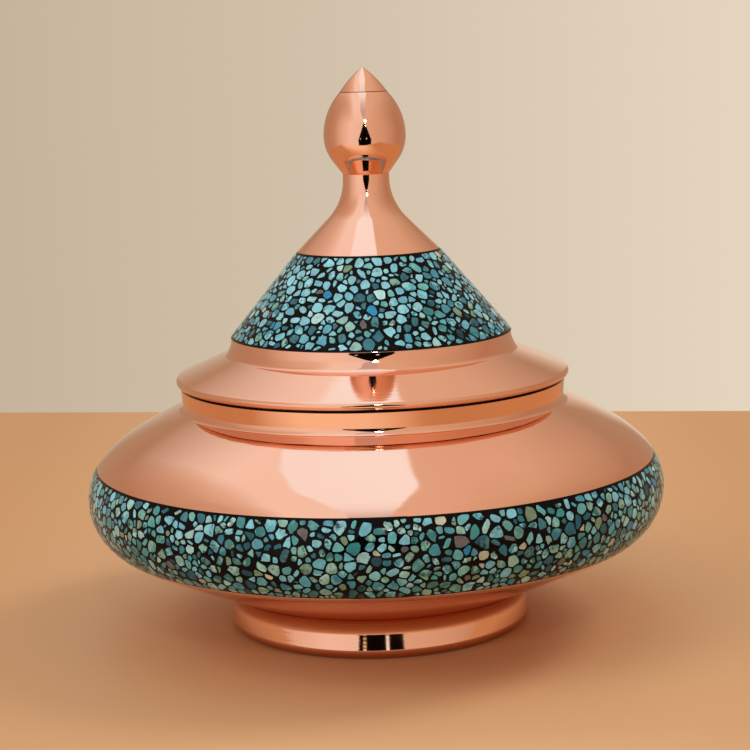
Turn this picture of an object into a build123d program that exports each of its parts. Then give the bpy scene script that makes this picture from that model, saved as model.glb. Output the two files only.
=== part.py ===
from build123d import *
import os
from math import acos, asin, atan2, cos, degrees, radians, sin, tan
from random import Random

# A covered sweets bowl in spun copper, with two bands of stone chips set flush in black lac.
# Millimetres and degrees. Z is up, the bowl stands on z = 0 and its axis is the Z axis.
# Each outline is half of a section, so its points are (radius, height).

# ---- Sheet and clearances ----
sheet = 1.1                # thickness of the spun copper
seat_gap = 0.3             # from the collar's rim up to the lid's rolled edge
skirt_clearance = 0.6      # from the lid's skirt to the wall of the mouth

# ---- Foot ----
foot_radius = 47.7         # where the line of the foot's flank meets the ground
foot_lean = 11.0           # the flank draws in by this much from upright
foot_round = 2.6           # the bead that the bowl stands on
foot_lip = 5.2             # reach of the turned-in edge under it
cove_round = 5.0           # between the flank and the flared skirt
flare_radius = 70.0        # upper edge of the flared skirt

# ---- Belly ----
belly_radius = 90.0        # widest place
belly_height = 43.0        # height of the widest place
bulge = 17.4               # radius of the belly's round section
underside_slope = 25.0
floor_height = 14.5        # underside of the flat bottom
floor_bend = 6.0

# ---- Shoulder and collar ----
shoulder_start = 45.0      # direction from the bulge's centre where the shoulder flattens
shoulder_round = 45.2      # radius of that flatter arc
shoulder_slope = 28.5
collar_radius = 59.5       # outside of its wall
collar_height = 5.9        # from the wall's foot on the shoulder up to the rim
rim_flare = 0.5
rim_round = 0.4
collar_edge = 0.5          # thickness of the out-turned edge soldered to the shoulder
collar_edge_width = 3.0
collar_bend = 2.4

# ---- Inlay ----
inlay_depth = 2.6          # from the flush surface to the copper behind it
strip_width = 1.0          # soldered strips that frame each band
lac_border = 0.9           # bare lac between a strip and the chips
lac_joint = 0.9            # gap between two chips
chip_depth = 1.0           # the chips lie on the lac bed with their faces flush
band_low = -52.7           # lower edge of the belly's band, seen from the bulge's centre
band_high = 34.5           # its upper edge
belly_rows = 5
belly_columns = 76
cone_rows = 6
cone_columns = 32
chip_zigzag = 0.16         # how far a row's edge wanders, as a share of the row
chip_jitter = 0.13         # how far a chip's corner is moved at random, as a share of the chip
chip_seed = 7

# ---- Lid ----
brim_overhang = 1.2        # past the collar's rim
brim_roll = 1.35           # radius of the rolled edge
brim_hem = 1.2             # flat width of the edge turned back over the rim
brim_slope = 22.9
brim_cove = 2.0
step_round = 6.7           # hollow of the step between brim and cone
step_undercut = 4.0        # how far the step leans out at its top, from upright
step_foot = 24.0           # how far it leans back where it nears the brim
skirt_depth = 7.0          # reach of the locating skirt below the rim
cone_base_radius = 43.73   # lower edge of the lid's band
cone_base_rise = 4.57514   # its height above the straight line of the brim
cone_top_radius = 22.16    # upper edge of the lid's band
cone_slope = 50.1
neck_radius = 7.2
spire_slope = 44.8         # straight from the band up to the round of the neck
spire_round = 16.9
crease_rise = 1.5          # from the narrowest place to the crease under the finial

# ---- Finial ----
bulb_radius = 12.7
bulb_base_slope = 53.0     # straight out of the neck
bulb_round = 12.9          # radius of the arc up to the widest place
bulb_cheek = 19.3          # radius of the arc above it
tip_radius = 7.4           # seam between bulb and tip
tip_height = 7.6
tip_swell = 0.45           # how far its flank stands out past a straight cone
tip_plug = 2.0
spigot_length = 4.5

# ---- Finishes ----
copper = Color(0.80, 0.45, 0.34)
lac = Color(0.02, 0.02, 0.02)
chip_colours = {
    "blue": Color(0.16, 0.48, 0.58),
    "green": Color(0.20, 0.46, 0.42),
    "pale": Color(0.52, 0.62, 0.52),
    "dark": Color(0.06, 0.16, 0.22),
}
chip_shares = {"blue": 0.34, "green": 0.36, "pale": 0.18, "dark": 0.12}

os.makedirs("parts", exist_ok=True)


def finish(piece, name, colour):
    """Name a finished piece, colour it and write it to its own file."""
    piece.part.label = name
    piece.part.color = colour
    export_step(piece.part, f"parts/{name}.step")


# ---- Places that the pieces share ----
bulge_centre_radius = belly_radius - bulge
strip_turn = degrees(strip_width / bulge)


def bulge_point(inset, direction):
    """A point of the belly's round section, or that far inside it."""
    reach = bulge - inset
    return (
        bulge_centre_radius + reach * cos(radians(direction)),
        belly_height + reach * sin(radians(direction)),
    )


def bulge_middle(inset, low, high):
    """Three points for an arc of that section."""
    return bulge_point(inset, low), bulge_point(inset, (low + high) / 2), bulge_point(inset, high)


# Underside: the bulge runs tangent into a straight cone.
underside_start = bulge_point(0, underside_slope - 90)


def underside_height(radius, raised=0):
    """Height of the belly's underside, or of a face lying that far above it."""
    fall = (underside_start[0] - radius) * tan(radians(underside_slope))
    return underside_start[1] - fall + raised / cos(radians(underside_slope))


# Shoulder: the bulge runs tangent into a flatter arc, then into a straight cone.
flattening = bulge_point(0, shoulder_start)
flatter_centre = (
    flattening[0] - shoulder_round * cos(radians(shoulder_start)),
    flattening[1] - shoulder_round * sin(radians(shoulder_start)),
)


def shoulder_arc(direction):
    return (
        flatter_centre[0] + shoulder_round * cos(radians(direction)),
        flatter_centre[1] + shoulder_round * sin(radians(direction)),
    )


shoulder_straight = shoulder_arc(90 - shoulder_slope)


def shoulder_height(radius, raised=0):
    """Height of the shoulder's straight part, or of a face lying that far above it."""
    climb = (shoulder_straight[0] - radius) * tan(radians(shoulder_slope))
    return shoulder_straight[1] + climb + raised / cos(radians(shoulder_slope))


mouth_radius = collar_radius - sheet
rim_height = shoulder_height(collar_radius) + collar_height
seat_height = rim_height + seat_gap

# Brim: a rolled edge, tangent to a straight cone that climbs to the step.
brim_radius = collar_radius + rim_flare + brim_overhang
roll_centre = (brim_radius - brim_roll, seat_height + brim_roll)
brim_edge = (
    roll_centre[0] + brim_roll * sin(radians(brim_slope)),
    roll_centre[1] + brim_roll * cos(radians(brim_slope)),
)


def brim_height(radius, raised=0):
    """Height of the brim's top face, or of a face lying that far above it."""
    climb = (brim_edge[0] - radius) * tan(radians(brim_slope))
    return brim_edge[1] + climb + raised / cos(radians(brim_slope))


# Cone: the band's lower and upper edges, and the frame of its straight flank.
cone_base = (cone_base_radius, brim_height(cone_base_radius) + cone_base_rise)
cone_run = (cone_base_radius - cone_top_radius) / cos(radians(cone_slope))
cone_top = (cone_top_radius, cone_base[1] + cone_run * sin(radians(cone_slope)))


def cone_point(inset, travel):
    """A point that far up the band's flank, and that far inside it."""
    return (
        cone_base_radius - travel * cos(radians(cone_slope)) - inset * sin(radians(cone_slope)),
        cone_base[1] + travel * sin(radians(cone_slope)) - inset * cos(radians(cone_slope)),
    )


def cone_radius(inset, height):
    """Radius, at that height, of a face lying that far inside the band's flank."""
    foot = cone_point(inset, 0)
    return foot[0] - (height - foot[1]) / tan(radians(cone_slope))


# Step: a hollow that leaves the band's lower edge and meets the brim in a corner.
step_centre = (
    cone_base[0] + step_round * cos(radians(step_undercut)),
    cone_base[1] - step_round * sin(radians(step_undercut)),
)


def step_point(lean):
    """The point of the hollow where it leans back that far from upright."""
    return (
        step_centre[0] - step_round * cos(radians(lean)),
        step_centre[1] - step_round * sin(radians(lean)),
    )


step_end = step_point(step_foot)
step_drop = (step_end[1] - brim_height(step_end[0])) / (
    1 / tan(radians(step_foot)) - tan(radians(brim_slope))
)
step_corner = (step_end[0] + step_drop, step_end[1] - step_drop / tan(radians(step_foot)))
lower_ledge_height = cone_point(inlay_depth, 0)[1]
ledge_lean = degrees(asin((step_centre[1] - lower_ledge_height) / step_round))
lower_ledge_radius = step_point(ledge_lean)[0]
upper_ledge_height = cone_top[1] + strip_width * sin(radians(spire_slope))
upper_ledge_radius = cone_top_radius - strip_width * cos(radians(spire_slope))
waist_turn = 90 - spire_slope
waist_radius = neck_radius + spire_round * (1 - cos(radians(waist_turn)))
waist_height = cone_top[1] + (cone_top_radius - waist_radius) * tan(radians(spire_slope))
neck_height = waist_height + spire_round * sin(radians(waist_turn))
crease_height = neck_height + crease_rise
flank_turn = 90 - bulb_base_slope
flank_radius = bulb_radius - bulb_round * (1 - cos(radians(flank_turn)))
flank_height = crease_height + (flank_radius - neck_radius) * tan(radians(bulb_base_slope))
bulb_height = flank_height + bulb_round * sin(radians(flank_turn))
tip_turn = acos((bulb_cheek - bulb_radius + tip_radius) / bulb_cheek)
seam_height = bulb_height + bulb_cheek * sin(tip_turn)


# ---- Foot ring: a bead, a leaning flank, a cove and a flared skirt that seats in the belly's rebate ----
flank_lean = tan(radians(foot_lean))
cove_height = underside_height(foot_radius) / (1 + flank_lean * tan(radians(underside_slope)))
with BuildPart() as foot_ring:
    with BuildSketch(Plane.XZ):
        with BuildLine():
            FilletPolyline(
                (flare_radius, underside_height(flare_radius)),
                (foot_radius - cove_height * flank_lean, cove_height),
                (foot_radius, 0),
                (foot_radius - foot_lip, 0),
                radius=[cove_round, foot_round],
            )
            offset(amount=sheet, side=Side.RIGHT)
        make_face()
    revolve(axis=Axis.Z)
finish(foot_ring, "foot_ring", copper)

# ---- Lower shell: flat bottom, rebate for the foot, underside and half of the trough ----
floor_radius = underside_start[0] - (underside_height(underside_start[0], sheet) - floor_height) / tan(
    radians(underside_slope)
)
rebate = (
    flare_radius - sheet * sin(radians(underside_slope)),
    underside_height(flare_radius) + sheet * cos(radians(underside_slope)),
)
trough_low = band_low - strip_turn
with BuildPart() as bowl_lower_shell:
    with BuildSketch(Plane.XZ):
        with BuildLine():
            FilletPolyline((0, floor_height), (floor_radius, floor_height), rebate, radius=floor_bend)
            Polyline(rebate, (flare_radius, underside_height(flare_radius)), underside_start)
            ThreePointArc(*bulge_middle(0, underside_slope - 90, trough_low))
            Line(bulge_point(0, trough_low), bulge_point(inlay_depth, trough_low))
            ThreePointArc(*bulge_middle(inlay_depth, trough_low, 0))
            offset(amount=sheet, side=Side.LEFT)
        make_face()
    revolve(axis=Axis.Z)
finish(bowl_lower_shell, "bowl_lower_shell", copper)

# ---- Shoulder: the other half of the trough, then up to the mouth ----
trough_high = band_high + strip_turn
with BuildPart() as bowl_shoulder:
    with BuildSketch(Plane.XZ):
        with BuildLine():
            ThreePointArc(*bulge_middle(inlay_depth, 0, trough_high))
            Line(bulge_point(inlay_depth, trough_high), bulge_point(0, trough_high))
            ThreePointArc(*bulge_middle(0, trough_high, shoulder_start))
            ThreePointArc(
                flattening,
                shoulder_arc((shoulder_start + 90 - shoulder_slope) / 2),
                shoulder_straight,
            )
            Line(shoulder_straight, (mouth_radius, shoulder_height(mouth_radius)))
            offset(amount=sheet, side=Side.LEFT)
        make_face()
    revolve(axis=Axis.Z)
    Hole(radius=mouth_radius)
finish(bowl_shoulder, "bowl_shoulder", copper)

# ---- Collar: a low neck soldered round the mouth, with a flared rim ----
collar_foot_radius = collar_radius + collar_edge_width
collar_corner = (collar_radius, shoulder_height(collar_radius, collar_edge))
collar_rim = (collar_radius + rim_flare, rim_height)
with BuildPart() as bowl_collar:
    with BuildSketch(Plane.XZ) as collar_section:
        Polygon(
            (mouth_radius, shoulder_height(mouth_radius)),
            (collar_foot_radius, shoulder_height(collar_foot_radius)),
            (collar_foot_radius, shoulder_height(collar_foot_radius, collar_edge)),
            collar_corner,
            collar_rim,
            (mouth_radius, rim_height),
            align=None,
        )
        fillet(collar_section.vertices().sort_by_distance((*collar_corner, 0))[0], collar_bend)
        fillet(collar_section.vertices().group_by(Axis.Y)[-1], rim_round)
    revolve(axis=Axis.Z)
finish(bowl_collar, "bowl_collar", copper)


# ---- Retaining strips of the belly's trough ----
def bulge_band(inner, outer, low, high):
    """A ring that fills the belly's round section between two depths and two directions."""
    with BuildPart() as band:
        with BuildSketch(Plane.XZ):
            with BuildLine():
                ThreePointArc(*bulge_middle(outer, low, high))
                Line(bulge_point(outer, high), bulge_point(inner, high))
                ThreePointArc(*bulge_middle(inner, high, low))
                Line(bulge_point(inner, low), bulge_point(outer, low))
            make_face()
        revolve(axis=Axis.Z)
    return band


finish(bulge_band(inlay_depth, 0, trough_low, band_low), "belly_lower_strip", copper)
finish(bulge_band(inlay_depth, 0, band_high, trough_high), "belly_upper_strip", copper)


# ---- Stone chips: irregular cells of a honeycomb wrapped round a band ----
def honeycomb(rows, columns, start, run):
    """Cells as lists of corners (turn in degrees, travel up the band), drawn at random but repeatable."""
    draw = Random(chip_seed)
    row_run = run / rows
    half_turn = 180 / columns
    corners = []
    for edge in range(rows + 1):
        wander = row_run if 0 < edge < rows else 0
        line = []
        for half in range(2 * columns):
            lift = chip_zigzag if (half + edge) % 2 == 0 else -chip_zigzag
            lift += draw.uniform(-chip_jitter, chip_jitter)
            turn = half_turn * (half + 2 * draw.uniform(-chip_jitter, chip_jitter))
            line.append((turn, start + edge * row_run + lift * wander))
        corners.append(line)
    cells = []
    for row in range(rows):
        for column in range(columns):
            first = 2 * column + row % 2
            around = [(row, first), (row, first + 1), (row, first + 2)]
            around += [(row + 1, first + 2), (row + 1, first + 1), (row + 1, first)]
            cell = []
            for edge, half in around:
                laps, place = divmod(half, 2 * columns)
                flat_edge = edge in (0, rows) and half == first + 1
                if not flat_edge:
                    cell.append((corners[edge][place][0] + 360 * laps, corners[edge][place][1]))
            cells.append(cell)
    return cells


def colour_groups(cells):
    """Share the cells out among the colours."""
    draw = Random(chip_seed)
    groups = {colour: [] for colour in chip_colours}
    for cell in cells:
        groups[draw.choices(list(chip_shares), list(chip_shares.values()))[0]].append(cell)
    return groups


def chips_on(cells, bed):
    """Chips lying on the bed; bed(travel) gives its radius, height and outward tilt."""
    with BuildPart() as chips:
        for cell in cells:
            turn = sum(corner[0] for corner in cell) / len(cell)
            travel = sum(corner[1] for corner in cell) / len(cell)
            radius, height, tilt = bed(travel)
            across = Vector(0, 1, 0).rotate(Axis.Z, turn)
            outward = Vector(cos(radians(tilt)), 0, sin(radians(tilt))).rotate(Axis.Z, turn)
            middle = Vector(radius, 0, height).rotate(Axis.Z, turn)
            outline = []
            for corner_turn, corner_travel in cell:
                corner_radius = bed(corner_travel)[0]
                outline.append((radians(corner_turn - turn) * corner_radius, corner_travel - travel))
            with BuildSketch(Plane(origin=middle, x_dir=across, z_dir=outward)):
                Polygon(*outline, align=None)
                offset(amount=-lac_joint / 2, kind=Kind.INTERSECTION)
        extrude(amount=chip_depth)
    return chips


def belly_bed(travel):
    direction = band_low + degrees(travel / (bulge - chip_depth))
    return (*bulge_point(chip_depth, direction), direction)


def cone_bed(travel):
    return (*cone_point(chip_depth, travel), 90 - cone_slope)


chip_margin = lac_border - lac_joint / 2
belly_run = radians(band_high - band_low) * (bulge - chip_depth)
belly_cells = honeycomb(belly_rows, belly_columns, chip_margin, belly_run - 2 * chip_margin)
for colour, cells in colour_groups(belly_cells).items():
    finish(chips_on(cells, belly_bed), f"belly_stones_{colour}", chip_colours[colour])

cone_cells = honeycomb(cone_rows, cone_columns, chip_margin, cone_run - 2 * chip_margin)
for colour, cells in colour_groups(cone_cells).items():
    finish(chips_on(cells, cone_bed), f"lid_stones_{colour}", chip_colours[colour])

# ---- Lac beds: they fill the troughs up to the backs of the chips ----
finish(bulge_band(inlay_depth, chip_depth, band_low, band_high), "belly_lac_bed", lac)

with BuildPart() as lid_lac_bed:
    with BuildSketch(Plane.XZ):
        Polygon(
            cone_point(chip_depth, 0),
            cone_point(chip_depth, cone_run),
            cone_point(inlay_depth, cone_run),
            cone_point(inlay_depth, 0),
            align=None,
        )
    revolve(axis=Axis.Z)
finish(lid_lac_bed, "lid_lac_bed", lac)

# ---- Lid's brim: rolled edge, shallow cone, hollow step and a ledge for the cone ----
lower_ledge_inside = cone_radius(inlay_depth + sheet, lower_ledge_height)
upper_ledge_inside = cone_radius(inlay_depth + sheet, upper_ledge_height)
with BuildPart() as lid_brim:
    with BuildSketch(Plane.XZ):
        with BuildLine():
            Line((lower_ledge_inside, lower_ledge_height), (lower_ledge_radius, lower_ledge_height))
            ThreePointArc(
                (lower_ledge_radius, lower_ledge_height),
                step_point((ledge_lean + step_foot) / 2),
                step_end,
            )
            flank = FilletPolyline(step_end, step_corner, brim_edge, radius=brim_cove)
            roll = JernArc(brim_edge, flank % 1, radius=brim_roll, arc_size=brim_slope - 180)
            Line(roll @ 1, roll @ 1 - (brim_hem, 0))
            offset(amount=sheet, side=Side.RIGHT)
        make_face()
    revolve(axis=Axis.Z)
finish(lid_brim, "lid_brim", copper)

# ---- Skirt: a plain ring under the brim that keeps the lid centred in the mouth ----
skirt_radius = mouth_radius - skirt_clearance
with BuildPart() as lid_skirt:
    with BuildSketch(Plane.XZ):
        Polygon(
            (skirt_radius - sheet, rim_height - skirt_depth),
            (skirt_radius, rim_height - skirt_depth),
            (skirt_radius, brim_height(skirt_radius, -sheet)),
            (skirt_radius - sheet, brim_height(skirt_radius - sheet, -sheet)),
            align=None,
        )
    revolve(axis=Axis.Z)
finish(lid_skirt, "lid_skirt", copper)

# ---- Cone: the sheet behind the lid's band ----
with BuildPart() as lid_cone:
    with BuildSketch(Plane.XZ):
        Polygon(
            (lower_ledge_inside, lower_ledge_height),
            cone_point(inlay_depth, 0),
            (cone_radius(inlay_depth, upper_ledge_height), upper_ledge_height),
            (upper_ledge_inside, upper_ledge_height),
            align=None,
        )
    revolve(axis=Axis.Z)
finish(lid_cone, "lid_cone", copper)

# ---- Retaining strips of the lid's band ----
with BuildPart() as lid_lower_strip:
    with BuildSketch(Plane.XZ):
        with BuildLine():
            Polyline(cone_base, cone_point(inlay_depth, 0), (lower_ledge_radius, lower_ledge_height))
            ThreePointArc(
                (lower_ledge_radius, lower_ledge_height),
                step_point((ledge_lean - step_undercut) / 2),
                cone_base,
            )
        make_face()
    revolve(axis=Axis.Z)
finish(lid_lower_strip, "lid_lower_strip", copper)

with BuildPart() as lid_upper_strip:
    with BuildSketch(Plane.XZ):
        Polygon(
            cone_top,
            (upper_ledge_radius, upper_ledge_height),
            (cone_radius(inlay_depth, upper_ledge_height), upper_ledge_height),
            cone_point(inlay_depth, cone_run),
            align=None,
        )
    revolve(axis=Axis.Z)
finish(lid_upper_strip, "lid_upper_strip", copper)

# ---- Spire: a trumpet from the band's top up to the neck ----
with BuildPart() as lid_spire:
    with BuildSketch(Plane.XZ):
        with BuildLine():
            Line((upper_ledge_inside, upper_ledge_height), (upper_ledge_radius, upper_ledge_height))
            flank = Line((upper_ledge_radius, upper_ledge_height), (waist_radius, waist_height))
            TangentArc((waist_radius, waist_height), (neck_radius, neck_height), tangent=flank % 1)
            Line((neck_radius, neck_height), (neck_radius, crease_height))
            offset(amount=sheet, side=Side.LEFT)
        make_face()
    revolve(axis=Axis.Z)
finish(lid_spire, "lid_spire", copper)

# ---- Finial: a hollow bulb with a spigot in the neck, and a turned tip ----
spigot_radius = neck_radius - sheet
with BuildPart() as finial_bulb:
    with BuildSketch(Plane.XZ):
        with BuildLine():
            Polyline(
                (spigot_radius, crease_height - spigot_length),
                (spigot_radius, crease_height),
                (neck_radius, crease_height),
            )
            flank = Line((neck_radius, crease_height), (flank_radius, flank_height))
            TangentArc((flank_radius, flank_height), (bulb_radius, bulb_height), tangent=flank % 1)
            TangentArc((bulb_radius, bulb_height), (tip_radius, seam_height), tangent=(0, 1))
            offset(amount=sheet, side=Side.LEFT)
        make_face()
    revolve(axis=Axis.Z)
finish(finial_bulb, "finial_bulb", copper)

plug_radius = tip_radius - sheet * cos(tip_turn)
plug_height = seam_height - sheet * sin(tip_turn)
tip_slope = atan2(tip_height, tip_radius)
tip_middle = (
    tip_radius / 2 + tip_swell * sin(tip_slope),
    seam_height + tip_height / 2 + tip_swell * cos(tip_slope),
)
with BuildPart() as finial_tip:
    with BuildSketch(Plane.XZ):
        with BuildLine():
            ThreePointArc((0, seam_height + tip_height), tip_middle, (tip_radius, seam_height))
            Polyline(
                (tip_radius, seam_height),
                (plug_radius, plug_height),
                (plug_radius, plug_height - tip_plug),
                (0, plug_height - tip_plug),
                (0, seam_height + tip_height),
            )
        make_face()
    revolve(axis=Axis.Z)
finish(finial_tip, "finial_tip", copper)
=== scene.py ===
"""A covered copper bowl with bands of inlaid stone chips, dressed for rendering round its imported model."""

import math
import random
from types import SimpleNamespace

import bmesh
import bpy
import numpy as np
from mathutils import Matrix, Vector


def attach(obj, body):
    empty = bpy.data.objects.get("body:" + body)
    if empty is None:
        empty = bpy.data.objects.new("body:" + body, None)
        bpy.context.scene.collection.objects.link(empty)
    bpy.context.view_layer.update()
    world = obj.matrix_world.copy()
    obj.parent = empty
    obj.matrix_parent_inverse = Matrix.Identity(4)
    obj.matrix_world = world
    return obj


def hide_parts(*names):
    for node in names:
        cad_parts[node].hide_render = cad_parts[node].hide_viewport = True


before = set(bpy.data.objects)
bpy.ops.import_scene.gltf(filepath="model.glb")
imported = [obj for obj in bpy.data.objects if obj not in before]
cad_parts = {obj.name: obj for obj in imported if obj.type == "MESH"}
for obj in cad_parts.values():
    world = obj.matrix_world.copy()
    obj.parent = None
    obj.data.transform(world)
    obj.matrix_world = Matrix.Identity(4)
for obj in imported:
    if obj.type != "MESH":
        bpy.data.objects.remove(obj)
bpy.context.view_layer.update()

mm = 0.001

# ---- Driving dimensions of the copper, in millimetres and degrees ----
sheet = 1.1                 # thickness of the spun copper
seat_gap = 0.3              # from the collar's rim up to the lid's rolled edge
foot_radius = 47.7          # where the line of the foot's flank meets the ground
foot_lean = 11.0            # the flank draws in by this much from upright
foot_round = 2.6            # the bead that the bowl stands on
foot_lip = 5.2              # reach of the turned-in edge under it
cove_round = 5.0            # between the flank and the flared skirt
flare_radius = 70.0         # upper edge of the flared skirt
belly_radius = 90.0         # widest place
belly_height = 43.0         # height of the widest place
bulge = 17.4                # radius of the belly's round section
underside_slope = 25.0
floor_height = 14.5         # underside of the flat bottom
floor_bend = 6.0
shoulder_start = 45.0       # direction from the bulge's centre where the shoulder flattens
shoulder_round = 45.2       # radius of that flatter arc
shoulder_slope = 28.5
shoulder_ease = 69.5        # from here in, the shoulder flattens towards the collar
shoulder_settle = 0.85      # and lies this much lower at the collar
collar_radius = 59.5        # outside of its wall
collar_height = 5.9         # from the wall's foot on the shoulder up to the rim
rim_flare = 0.5
rim_round = 0.4
collar_bend = 2.4
brim_overhang = 1.2         # past the collar's rim
brim_roll = 1.35            # radius of the rolled edge
brim_hem = 1.2              # flat width of the edge turned back over the rim
brim_slope = 22.9
brim_cove = 2.0
step_round = 6.7            # hollow of the step between brim and cone
step_undercut = 4.0         # how far the step leans out at its top, from upright
step_foot = 24.0            # how far it leans back where it nears the brim
cone_base_radius = 43.73    # lower edge of the lid's band
cone_base_rise = 4.57514    # its height above the straight line of the brim
cone_top_radius = 22.16     # upper edge of the lid's band
cone_slope = 50.1
neck_radius = 7.2
spire_slope = 44.8          # straight from the band up to the round of the neck
spire_round = 16.9
crease_rise = 1.5           # from the narrowest place to the crease under the finial
bulb_radius = 12.7
bulb_base_slope = 53.0      # straight out of the neck
bulb_round = 12.9           # radius of the arc up to the widest place
bulb_cheek = 19.3           # radius of the arc above it
tip_radius = 7.4            # seam between bulb and tip
tip_height = 7.6
tip_swell = 0.45            # how far its flank stands out past a straight cone
tip_plug = 2.0
tip_round = 0.5
spigot_length = 4.5

# ---- Driving dimensions of the inlay ----
inlay_depth = 2.6           # from the flush surface to the copper behind it
strip_width = 1.0           # soldered strips that frame each band
band_low = -52.7            # lower edge of the belly's band, seen from the bulge's centre
band_high = 34.5            # its upper edge
lac_sink = 0.05             # the polished lac lies this far below the chips
chip_sink = 0.55            # depth of a chip in the lac
chip_edge = 0.14            # worn edge of a chip

# ---- How finely everything is made ----
spin_steps = 256
arc_step = 3.0              # turn between two points of an arc, in degrees
edge_break = 0.12           # softened edge of the copper
fine_break = 0.06           # softened edge of the small tip
lac_break = 0.02            # softened edge of the lac
corner_turn = 40.0          # an edge that turns by more than this is softened, in degrees
sharp_turn = 9.0            # faces that turn by less than this mirror as one, in degrees
same_point = 1e-4           # points of a section nearer than this are one
weld = 1e-3                 # and so are points of a spun piece nearer than this

# ---- Camera ----
camera_place = Vector((0.0, -0.5876, 0.1734))   # in metres
camera_pitch = 9.242        # degrees down
camera_yaw = 0.077
camera_roll = -1.852
camera_lens = 91.2
sensor_width = 36.0


def set_up_camera():
    """The camera in front of the bowl, a little above it."""
    data = bpy.data.cameras.new("camera")
    data.lens = camera_lens
    data.sensor_width = sensor_width
    camera = bpy.data.objects.new("camera", data)
    bpy.context.scene.collection.objects.link(camera)
    aim = (
        Matrix.Rotation(math.radians(-camera_yaw), 4, "Z")
        @ Matrix.Rotation(math.radians(90 - camera_pitch), 4, "X")
        @ Matrix.Rotation(math.radians(camera_roll), 4, "Z")
    )
    camera.matrix_world = Matrix.Translation(camera_place) @ aim
    bpy.context.scene.camera = camera


set_up_camera()
bpy.context.scene.view_settings.view_transform = "Standard"


# ---- Sections: points as radius and height, in millimetres ----
def at(radius, height):
    return Vector((radius, height))


def heading(direction):
    """A step of one in that direction, in degrees."""
    turn = math.radians(direction)
    return at(math.cos(turn), math.sin(turn))


def polar(centre, reach, direction):
    """The point that lies that far from centre, in that direction."""
    return centre + float(reach) * heading(direction)


def arc(centre, reach, start, end):
    """Points of an arc between two directions seen from its centre."""
    steps = max(2, math.ceil(abs(end - start) / arc_step))
    return [polar(centre, reach, start + (end - start) * step / steps) for step in range(steps + 1)]


def arc_on(start, onward, end):
    """Points of the arc that runs onward from start and ends at end."""
    side = at(-onward.y, onward.x).normalized()
    chord = end - start
    bend = chord.length_squared / (2 * chord.dot(side))
    centre = start + bend * side
    first = math.degrees(math.atan2(*(start - centre).yx))
    last = math.degrees(math.atan2(*(end - centre).yx))
    turn = (last - first) % 360 if bend > 0 else -((first - last) % 360)
    return arc(centre, abs(bend), first, first + turn)


def eased(before, corner, after, reach):
    """Points of the fillet between two straight runs."""
    back = (before - corner).normalized()
    onward = (after - corner).normalized()
    half = back.angle(onward) / 2
    start = corner + back * reach / math.tan(half)
    end = corner + onward * reach / math.tan(half)
    return arc_on(start, -back, end)


def joined(*stretches):
    """One path through all the stretches, with no point twice in a row."""
    path = []
    for point in (point for stretch in stretches for point in stretch):
        if not path or (point - path[-1]).length > same_point:
            path.append(point)
    return path


def beside(path, distance):
    """The same path moved to its left by distance."""
    moved = []
    for index, point in enumerate(path):
        before = path[max(index - 1, 0)]
        after = path[min(index + 1, len(path) - 1)]
        into = (point - before if index else after - point).normalized()
        out = (after - point if index < len(path) - 1 else point - before).normalized()
        side = at(-into.y, into.x)
        bisector = side + at(-out.y, out.x)
        bisector.normalize()
        moved.append(point + bisector * distance / bisector.dot(side))
    return moved


# ---- Places that the pieces share ----
bulge_centre = at(belly_radius - bulge, belly_height)
underside_rise = math.tan(math.radians(underside_slope))
underside_start = polar(bulge_centre, bulge, underside_slope - 90)


def underside(radius, raised=0.0):
    """The point of the belly's underside at that radius, or of a face that far above it."""
    fall = (underside_start.x - radius) * underside_rise
    return at(radius, underside_start.y - fall + raised / math.cos(math.radians(underside_slope)))


flattening = polar(bulge_centre, bulge, shoulder_start)
flatter_centre = polar(flattening, -shoulder_round, shoulder_start)
shoulder_straight = polar(flatter_centre, shoulder_round, 90 - shoulder_slope)


def shoulder(radius):
    """The point of the shoulder's straight part at that radius."""
    climb = (shoulder_straight.x - radius) * math.tan(math.radians(shoulder_slope))
    return at(radius, shoulder_straight.y + climb)


mouth_radius = collar_radius - sheet
shoulder_end = shoulder(mouth_radius) - at(0, shoulder_settle)
shoulder_top = arc_on(shoulder(shoulder_ease), heading(180 - shoulder_slope), shoulder_end)


def collar_foot(radius):
    """The point of the eased shoulder at that radius."""
    inward = shoulder_top[::-1]
    height = np.interp(radius, [point.x for point in inward], [point.y for point in inward])
    return at(radius, float(height))


rim_height = shoulder(collar_radius).y + collar_height
seat_height = rim_height + seat_gap
roll_centre = at(collar_radius + rim_flare + brim_overhang - brim_roll, seat_height + brim_roll)
brim_edge = polar(roll_centre, brim_roll, 90 - brim_slope)


def brim(radius):
    """The point of the brim's straight part at that radius."""
    climb = (brim_edge.x - radius) * math.tan(math.radians(brim_slope))
    return at(radius, brim_edge.y + climb)


cone_base = brim(cone_base_radius) + at(0, cone_base_rise)
cone_run = (cone_base_radius - cone_top_radius) / math.cos(math.radians(cone_slope))


def cone_point(inset, travel):
    """A point that far up the lid's band, and that far inside it."""
    foot = polar(cone_base, -inset, 90 - cone_slope)
    return polar(foot, travel, 180 - cone_slope)


cone_top = cone_point(0, cone_run)


def cone_inside(inset, height):
    """The point at that height on the face that lies that far inside the lid's band."""
    foot = cone_point(inset, 0)
    return at(foot.x - (height - foot.y) / math.tan(math.radians(cone_slope)), height)


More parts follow.
